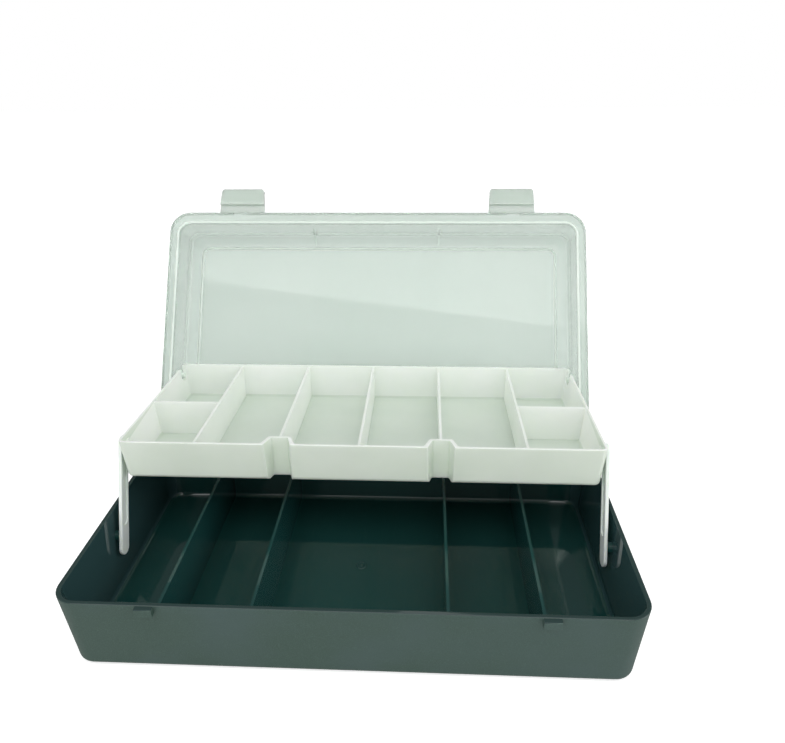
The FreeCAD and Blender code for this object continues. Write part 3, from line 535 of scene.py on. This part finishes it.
class Shaper(Bench):
    """A Geometry Nodes tree with named inputs, which makes a plain mesh."""

    def __init__(self, name: str, sizes: dict[str, float | int]) -> None:
        """Start a tree and give it its inputs.

        Args:
            name: Name of the tree and of the piece that it makes.
            sizes: Value of each named input; a whole number makes a whole-number socket.
        """
        super().__init__(bpy.data.node_groups.new(name, "GeometryNodeTree"))
        self.name = name
        self.values: dict[str, float | int] = {}
        for title, value in sizes.items():
            kind = "NodeSocketInt" if isinstance(value, int) else "NodeSocketFloat"
            made = self.tree.interface.new_socket(title, in_out="INPUT", socket_type=kind)
            self.values[made.identifier] = value
        self.tree.interface.new_socket("Geometry", in_out="OUTPUT",
                                       socket_type="NodeSocketGeometry")
        given = self.tree.nodes.new("NodeGroupInput")
        self.sizes = {title: Term(self, given.outputs[title]) for title in sizes}

    def make(self, shape: Term, material: bpy.types.Material) -> bpy.types.Object:
        """End the tree and run it.

        Args:
            shape: The geometry that the tree has made.
            material: The material of all its faces.

        Returns:
            A piece that holds the result as a plain mesh.
        """
        real = self.node("GeometryNodeRealizeInstances", None, {"Geometry": shape})
        painted = self.node("GeometryNodeSetMaterial", None,
                            {"Geometry": real, "Material": material})
        out = self.tree.nodes.new("NodeGroupOutput")
        self.tree.links.new(painted.socket, out.inputs["Geometry"])
        piece = link(self.name, bpy.data.meshes.new(self.name))
        modifier = piece.modifiers.new("shape", "NODES")
        modifier.node_group = self.tree
        for identifier, value in self.values.items():
            modifier[identifier] = value
        plain_copy(piece)
        return piece


@dataclass
class Bead:
    """A thin rounded bead that runs along a rounded rectangle, or round a ring.

    In the bead's own frame the rectangle reaches as far as half to the left and right, and from
    front to rear along y. Place leads from there to the box's frame, and squash flattens the bead
    along z. A bead that isn't closed leaves out the rear side.
    """

    name: str
    body: str
    finish: Finish
    material: bpy.types.Material
    place: Matrix
    half: float
    front: float
    rear: float
    corner: float
    radius: float
    squash: float = 1.0
    closed: bool = True
    corner_steps: int = 12
    sides: int = 16

    def build(self) -> None:
        """Sweep the bead, put it in its place and let it ride on its body."""
        shaper = Shaper(self.name, {
            "Half Width": self.half, "Front": self.front, "Rear": self.rear,
            "Corner": self.corner, "Radius": self.radius, "Squash": self.squash,
            "Corner Steps": self.corner_steps, "Sides": self.sides})
        piece = shaper.make(self._sweep(shaper), self.material)
        piece.data.transform(self.place)
        for face in piece.data.polygons:
            face.use_smooth = True
        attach(piece, self.body)
        LOG.info("swept %s with %d faces", self.name, len(piece.data.polygons))

    def _sweep(self, shaper: Shaper) -> Term:
        """Add the nodes that lay four corners, round them and sweep a circle along them.

        Args:
            shaper: The tree to add to.

        Returns:
            The swept bead.
        """
        sizes = shaper.sizes
        halfway = 1.5  # between the second and the third of the corners 0 to 3
        corners = shaper.node("GeometryNodeMeshLine", None, {"Count": 4})
        index = shaper.node("GeometryNodeInputIndex")
        right = index.above(halfway)
        behind = index.distance_to(halfway).above(1.0)
        across = (2.0 * right - 1.0) * sizes["Half Width"]
        along = sizes["Front"] + behind * (sizes["Rear"] - sizes["Front"])
        spot = shaper.node("ShaderNodeCombineXYZ", None, {"X": across, "Y": along})
        line = shaper.node("GeometryNodeMeshToCurve", None, {"Mesh": corners})
        line = shaper.node("GeometryNodeSetPosition", None, {"Geometry": line, "Position": spot})
        line = shaper.node("GeometryNodeSetSplineCyclic", None,
                           {"Geometry": line, "Cyclic": self.closed})
        line = shaper.node("GeometryNodeFilletCurve", {"mode": "POLY"}, {
            "Curve": line, "Count": sizes["Corner Steps"], "Radius": sizes["Corner"],
            "Limit Radius": True})
        profile = shaper.node("GeometryNodeCurvePrimitiveCircle", None,
                              {"Resolution": sizes["Sides"], "Radius": sizes["Radius"]})
        bead = shaper.node("GeometryNodeCurveToMesh", None, {
            "Curve": line, "Profile Curve": profile, "Fill Caps": not self.closed})
        flat = shaper.node("ShaderNodeCombineXYZ", None,
                           {"X": 1.0, "Y": 1.0, "Z": sizes["Squash"]})
        return shaper.node("GeometryNodeTransform", None, {"Geometry": bead, "Scale": flat})


# Sub-assemblies


@dataclass
class Tub:
    """The dark tub: grained outside, polished inside.

    Inset is how much narrower each side is at the foot than at the rim. The three turns say how
    far a face's normal has to point sideways, or for the rim upwards, for the face to count as
    wall, divider or rim. The gate is the mark that the mould leaves in the middle of the floor.
    """

    width: float = 270 * MM
    depth: float = 138.4 * MM
    height: float = 42.6 * MM
    inset: float = 2.6 * MM
    corner: float = 12 * MM
    wall: float = 2.2 * MM
    floor: float = 2 * MM
    rim_round: float = 0.5 * MM
    wall_turn: float = 0.5
    divider_turn: float = 0.9
    rim_turn: float = 0.6
    gate_x: float = -0.6 * MM
    gate_y: float = 2.9 * MM
    gate_ring: float = 2.4 * MM
    gate_bead: float = 0.6 * MM
    gate_nub: float = 0.5 * MM
    gate_squash: float = 0.9

    def from_middle_of_wall(self, point: Vector) -> float:
        """Measure how far outside the wall's middle surface a point is.

        Args:
            point: A point of the tub.

        Returns:
            The distance, negative on the tub's inside.
        """
        drawn_in = self.inset * (self.height - point.z) / self.height + self.wall / 2
        radius = self.corner - drawn_in
        across = abs(point.x) - (self.width / 2 - drawn_in - radius)
        along = abs(point.y) - (self.depth / 2 - drawn_in - radius)
        outside = math.hypot(max(across, 0.0), max(along, 0.0))
        return outside + min(max(across, along), 0.0) - radius

    def is_inside(self, point: Vector, _normal: Vector) -> bool:
        """Whether a face belongs to the polished inside."""
        below_rim = point.z < self.height - self.rim_round / 2
        return below_rim and point.z > self.floor / 2 and self.from_middle_of_wall(point) < 0

    def is_wall(self, point: Vector, normal: Vector) -> bool:
        """Whether a face belongs to the inside of the left or right wall."""
        near = self.from_middle_of_wall(point) > -self.wall
        return near and abs(normal.x) > self.wall_turn and self.is_inside(point, normal)

    def is_divider(self, point: Vector, normal: Vector) -> bool:
        """Whether a face belongs to the two sides of a divider."""
        return abs(normal.x) > self.divider_turn and self.is_inside(point, normal)

    def is_rim(self, point: Vector, normal: Vector) -> bool:
        """Whether a face belongs to the polished top of the rim and of the catch lugs."""
        return normal.z > self.rim_turn and abs(point.z - self.height) < self.rim_round

    def build(self) -> None:
        """Dress the tub and its hinge pins."""
        # inside darker than the grained outside: painted shade
        gloss = TubGloss().build()
        # side walls lighter than the floor: painted light
        wall = TubGloss("tub_wall_painted_light", srgb(50, 76, 78), srgb(66, 96, 94)).build()
        # dividers' sides lighter than the floor: painted light
        divider = TubGloss("tub_divider_painted_light", srgb(30, 72, 71), srgb(54, 88, 86)).build()
        # rim's top darker than the outside: painted shade
        rim = TubGloss("tub_rim_painted_shade", srgb(40, 60, 58), srgb(60, 82, 80)).build()
        regions = [self.is_wall, self.is_divider, self.is_inside, self.is_rim]
        materials = [wall, divider, gloss, rim, TubGrain().build()]
        Dressing("base", "tub", "base", Finish.TUB, materials, regions).build()
        gate = Matrix.Translation((self.gate_x, self.gate_y, self.floor))
        for name, radius, bead in (("tub_gate_ring", self.gate_ring, self.gate_bead),
                                   ("tub_gate_nub", self.gate_nub, self.gate_nub)):
            Bead(name, "base", Finish.TUB, gloss, gate, half=radius, front=-radius, rear=radius,
                 corner=radius, radius=bead, squash=self.gate_squash).build()
        wire = DrawnWire().build()
        for side in ("left", "right"):
            Dressing(f"hinge_pin_{side}", f"pin_{side}", "base", Finish.PIN, [wire]).build()


@dataclass
class Lid:
    """The frosted lid and its two latches.

    Its sizes are measured on the closed lid from the hinge axis: y to the rear, z up. The hollow
    is the inside of the dome, the panel the raised field in its top, and the tongue the lip that
    goes down into the tub on three sides. Slack is the play in telling the regions apart.
    """

    hollow_half: float = 130.0 * MM
    hollow_front: float = -138.6 * MM
    hollow_rear: float = -10.2 * MM
    hollow_corner: float = 7.0 * MM
    hollow_depth: float = 20.28 * MM
    panel_half: float = 121.4 * MM
    panel_front: float = -129.1 * MM
    panel_rear: float = -14.0 * MM
    panel_corner: float = 5.0 * MM
    panel_step: float = 0.8 * MM
    wall: float = 1.6 * MM
    tongue: float = 1.5 * MM
    tongue_gap: float = 4 * MM
    tongue_bead: float = 0.65 * MM
    tongue_squash: float = 0.5
    panel_bead: float = 0.6 * MM
    panel_bead_inset: float = 0.65 * MM
    panel_squash: float = 0.75
    slack: float = 0.3 * MM
    stub_y: float = -38.3 * MM
    stub_z: float = 7.6 * MM
    stub_reach: float = 4.0 * MM

    def from_hinge(self) -> Matrix:
        """Find the lid's own frame, whose origin is the hinge axis.

        Returns:
            The way from that frame to the box's frame, with the lid open as it is at rest.
        """
        hinge = joint_named("lid_hinge")
        swing = math.radians(hinge["range_deg"][1])
        return Matrix.Translation(hinge["pos_m"]) @ Matrix.Rotation(-swing, 4, "X")

    def tray_axis(self) -> Vector:
        """Where the stubs carry the tray, in the box's frame."""
        return self.from_hinge() @ Vector((0.0, self.stub_y, self.stub_z))

    def in_hollow(self, point: Vector, over: float) -> bool:
        """Whether a point of the lid's own frame is in the hollow, or less than over outside it."""
        beside = abs(point.x) < self.hollow_half + over
        return beside and self.hollow_front - over < point.y < self.hollow_rear + over

    def is_stub(self, point: Vector, _normal: Vector) -> bool:
        """Tell the thick stubs that carry the tray.

        Args:
            point: Centre of a face.
            _normal: Its normal, which doesn't matter here.

        Returns:
            Whether the face belongs to a stub.
        """
        own = self.from_hinge().inverted() @ point
        from_axis = math.hypot(own.y - self.stub_y, own.z - self.stub_z)
        return from_axis < self.stub_reach and abs(own.x) < self.hollow_half - self.slack

    def is_wall(self, point: Vector, normal: Vector) -> bool:
        """Tell the dome's walls, which the light shines through.

        Args:
            point: Centre of a face.
            normal: Its normal.

        Returns:
            Whether the face belongs to a wall.
        """
        back = self.from_hinge().inverted()
        own = back @ point
        near = self.in_hollow(own, self.wall + self.slack)
        return near and abs((back.to_3x3() @ normal).z) < LEVEL

    def is_border(self, point: Vector, normal: Vector) -> bool:
        """Tell the strip between the dome's walls and the panel, seen from the inside.

        Args:
            point: Centre of a face.
            normal: Its normal.

        Returns:
            Whether the face belongs to the strip.
        """
        back = self.from_hinge().inverted()
        own = back @ point
        inward = (back.to_3x3() @ normal).z < -LEVEL
        shallow = own.z < self.hollow_depth + self.panel_step / 2
        return inward and shallow and self.in_hollow(own, self.slack)

    def build(self) -> None:
        """Dress the lid and the latches, and run the painted-highlight beads round the lid."""
        # opaque white: the stubs' thick plastic, and on the beads a painted highlight
        edge = FrostedPlastic("hazy_stub_white_and_painted_highlight", srgb(230, 240, 232), srgb(224, 235, 227),
                              clear=0.0, haze=0.0, cover=1.0).build()
        # dome walls darker than the panel: painted shade
        wall = FrostedPlastic("hazy_wall_painted_shade", srgb(198, 220, 206), srgb(192, 215, 200),
                              clear=0.8, cover=0.6).build()
        # border strip darker than the panel: painted shade
        border = FrostedPlastic("hazy_border_painted_shade", srgb(220, 239, 227), srgb(215, 235, 222),
                                clear=0.66, cover=0.6).build()
        panel = FrostedPlastic().build()
        Dressing("lid", "lid_shell", "lid", Finish.LID, [edge, wall, border, panel],
                 [self.is_stub, self.is_wall, self.is_border]).build()
        self._beads(edge)
        flap = FrostedPlastic("latch_plastic", srgb(214, 226, 217), srgb(207, 219, 210),
                              clear=0.35, cover=1.0).build()
        for side in ("left", "right"):
            body = f"latch_{side}"
            Dressing(body, f"latch_flap_{side}", body, Finish.LID, [flap]).build()

    def _beads(self, edge: bpy.types.Material) -> None:
        """Round the tongue's edge and the panel's edge with beads, whose white is a painted
        highlight.

        Args:
            edge: The material of both beads, white as a painted highlight.
        """
        middle = self.wall / 2
        tongue = self.from_hinge() @ Matrix.Translation((0.0, 0.0, -self.tongue))
        Bead("lid_tongue_bead", "lid", Finish.LID, edge, tongue,
             half=self.hollow_half + middle, front=self.hollow_front - middle,
             rear=self.hollow_rear - self.tongue_gap, corner=self.hollow_corner + middle,
             radius=self.tongue_bead, squash=self.tongue_squash, closed=False).build()
        inset = self.panel_bead_inset
        panel = self.from_hinge() @ Matrix.Translation(
            (0.0, 0.0, self.hollow_depth + self.panel_step))
        Bead("lid_panel_bead", "lid", Finish.LID, edge, panel,
             half=self.panel_half - inset, front=self.panel_front + inset,
             rear=self.panel_rear - inset, corner=self.panel_corner - inset,
             radius=self.panel_bead, squash=self.panel_squash).build()


@dataclass
class Tray:
    """The milky tray and its two arms.

    Tilt is how far the front stands up at rest. The floor's level is measured from the rear pivot,
    square to the floor. Near is how far off a face the look along its normal starts.
    """

    tilt: float = math.radians(2.5)
    floor_level: float = -16.3 * MM
    floor_margin: float = 0.8 * MM
    near: float = 0.1 * MM

    def __post_init__(self) -> None:
        """Keep the rear pivot, and the surface, which tells the hollow side from the outer."""
        self.pivot = Lid().tray_axis()
        mesh = frame["nodes"]["tray"].data
        corners = [vertex.co for vertex in mesh.vertices]
        self.surface = BVHTree.FromPolygons(corners, [face.vertices for face in mesh.polygons])

    def is_outside(self, point: Vector, normal: Vector) -> bool:
        """Whether a face is on the outer side: upright, with nothing of the tray before it."""
        hit = self.surface.ray_cast(point + self.near * normal, normal)
        return abs(normal.z) < LEVEL and hit[0] is None

    def height_of(self, point: Vector) -> float:
        """Height above the rear pivot, square to the tray's floor."""
        off = point - self.pivot
        return off.z * math.cos(self.tilt) + off.y * math.sin(self.tilt)

    def is_floor(self, point: Vector, normal: Vector) -> bool:
        """Whether a face is the floor's upper side, which gets painted shade over the dark tub."""
        near_floor = abs(self.height_of(point) - self.floor_level) < self.floor_margin
        return near_floor and normal.z > LEVEL

    def build(self) -> None:
        """Dress the tray and the arms."""
        # inside lightest of three copies of one plastic: painted light
        milky = MilkyPlastic().build()
        # floor darker than the inside: painted shade over the dark tub
        dim = MilkyPlastic("milky_floor_painted_shade", srgb(216, 226, 215), srgb(208, 219, 208)).build()
        # outer walls darker than the inside: painted shade
        outer = MilkyPlastic("milky_outside_painted_shade", srgb(223, 232, 221), srgb(215, 225, 213)).build()
        Dressing("tray", "tray_shell", "tray", Finish.TRAY, [dim, outer, milky],
                 [self.is_floor, self.is_outside]).build()
        strip = MilkyPlastic("arm_plastic", srgb(240, 252, 242), srgb(234, 247, 236),
                             depth=0.6 * MM).build()
        for side in ("left", "right"):
            body = f"arm_{side}"
            Dressing(body, f"arm_strip_{side}", body, Finish.TRAY, [strip]).build()


# Studio


@dataclass(frozen=True)
class Viewpoint:
    """A camera given by its place, its angles in radians and its focal length in picture widths."""

    place: Triple = (33.2 * MM, -276.87 * MM, 263.85 * MM)
    yaw: float = 0.05388
    pitch: float = 0.46152
    roll: float = 0.01213
    focal_widths: float = 0.83247834
    sensor: float = 36.0
    nearest: float = 10 * MM
    farthest: float = 20.0

    def build(self) -> None:
        """Make the camera and look through it."""
        forward = Vector((-math.sin(self.yaw) * math.cos(self.pitch),
                          math.cos(self.yaw) * math.cos(self.pitch), -math.sin(self.pitch)))
        right = Vector((math.cos(self.yaw), math.sin(self.yaw), 0.0))
        down = forward.cross(right)
        cos, sin = math.cos(self.roll), math.sin(self.roll)
        across = cos * right + sin * down
        lower = cos * down - sin * right
        data = bpy.data.cameras.new("camera")
        data.sensor_width = self.sensor
        data.lens = self.sensor * self.focal_widths
        data.clip_start = self.nearest
        data.clip_end = self.farthest
        camera = bpy.data.objects.new("camera", data)
        turn = Matrix((across, -lower, -forward)).transposed()
        camera.matrix_world = Matrix.Translation(self.place) @ turn.to_4x4()
        bpy.context.scene.collection.objects.link(camera)
        bpy.context.scene.camera = camera


@dataclass(frozen=True)
class Softbox:
    """An area lamp that points at a place; its roll about that direction is in degrees."""

    name: str
    place: Triple
    target: Triple
    width: float
    height: float
    roll: float
    watts: float

    def build(self) -> None:
        """Make the lamp."""
        data = bpy.data.lights.new(self.name, "AREA")
        data.shape = "RECTANGLE"
        data.size = self.width
        data.size_y = self.height
        data.energy = self.watts
        lamp = bpy.data.objects.new(self.name, data)
        aim = Vector(self.target) - Vector(self.place)
        turn = aim.to_track_quat("-Z", "Y").to_matrix().to_4x4()
        roll = Matrix.Rotation(math.radians(self.roll), 4, "Z")
        lamp.matrix_world = Matrix.Translation(self.place) @ turn @ roll
        bpy.context.scene.collection.objects.link(lamp)


@dataclass
class Studio:
    """White table, soft lamps and a white surround that is dimmer behind the box.

    The surround's light is ambient from the front, and falls to ambient_behind where the
    direction's part along y is behind_at or more. Lift is the glow that whitens the table for the
    camera alone.
    """

    ambient: float = 0.74
    ambient_behind: float = 0.22
    behind_at: float = 0.6
    lift: float = 0.55
    half_width: float = 3.0
    paper: Colour = (0.80, 0.80, 0.80)
    fibre: Colour = (0.84, 0.84, 0.84)
    fibre_size: float = 0.8 * MM
    fibre_detail: float = 2.0
    lamps: tuple[Softbox, ...] = (
        Softbox("key", (-0.10, -0.85, 1.53), (0.0, 0.05, 0.08),
                width=2.0, height=0.6, roll=-2.5, watts=8.5),
        Softbox("fill", (-0.55, -1.52, 0.40), (0.0, 0.0, 0.06),
                width=1.2, height=0.5, roll=0.0, watts=2.7),
        Softbox("side", (1.35, -0.35, 0.80), (0.0, 0.0, 0.06),
                width=0.9, height=0.7, roll=0.0, watts=5.0),
        Softbox("rim", (0.25, 0.60, 1.25), (0.0, 0.05, 0.05),
                width=0.8, height=0.6, roll=0.0, watts=1.4),
    )

    def build(self) -> None:
        """Set the table, lamps, surround and view transform."""
        self._table()
        self._surround()
        for lamp in self.lamps:
            lamp.build()
        bpy.context.scene.view_settings.view_transform = "Standard"

    def _table(self) -> None:
        """Lay a wide white table, which keeps the box's soft shadow."""
        half = self.half_width
        corners = [(-half, -half, 0.0), (half, -half, 0.0), (half, half, 0.0), (-half, half, 0.0)]
        mesh = bpy.data.meshes.new("table")
        mesh.from_pydata(corners, [], [(0, 1, 2, 3)])
        graph = Graph("table_paper")
        fibres = graph.noise(self.fibre_size, self.fibre_detail)
        tone = graph.mix(fibres, self.paper, self.fibre)
        paper = graph.node("ShaderNodeBsdfDiffuse", None, {"Color": tone}, "BSDF")
        glow = graph.node("ShaderNodeEmission", None,
                          {"Color": WHITE, "Strength": self.lift}, "Emission")
        seen = graph.node("ShaderNodeLightPath", result="Is Camera Ray")
        lifted = graph.node("ShaderNodeAddShader", None, {0: paper, 1: glow}, "Shader")
        shown = graph.node("ShaderNodeMixShader", None, {0: seen, 1: paper, 2: lifted}, "Shader")
        graph.tree.links.new(shown.socket, graph.output.inputs["Surface"])
        mesh.materials.append(graph.material)
        link("table", mesh)

    def _surround(self) -> None:
        """Hang the surround, which is white where it is seen and softer where it lights."""
        world = bpy.data.worlds.new("surround")
        bpy.context.scene.world = world
        world.use_nodes = True
        world.node_tree.nodes.clear()
        bench = Bench(world.node_tree)
        around = bench.node("ShaderNodeTexCoord", result="Generated")
        towards = bench.node("ShaderNodeSeparateXYZ", None, {"Vector": around}, "Y")
        dim = bench.node("ShaderNodeMapRange", None, {
            "Value": towards, "From Max": self.behind_at,
            "To Min": self.ambient, "To Max": self.ambient_behind}, "Result")
        looked_at = bench.node("ShaderNodeLightPath", result="Is Camera Ray")
        looked_through = bench.node("ShaderNodeLightPath", result="Is Transmission Ray")
        seen = bench.node("ShaderNodeMath", {"operation": "MAXIMUM"},
                          {0: looked_at, 1: looked_through})
        level = bench.node("ShaderNodeMapRange", None, {"Value": seen, "To Min": dim}, "Result")
        glow = bench.node("ShaderNodeBackground", None,
                          {"Color": WHITE, "Strength": level}, "Background")
        out = world.node_tree.nodes.new("ShaderNodeOutputWorld")
        world.node_tree.links.new(glow.socket, out.inputs["Surface"])


def main() -> None:
    """Build the box in its studio."""
    logging.basicConfig(level=logging.INFO)
    Viewpoint().build()
    Studio().build()
    for part in (Tub(), Lid(), Tray()):
        part.build()
        LOG.info("built %s", type(part).__name__)


if __name__ == "__main__":
    main()
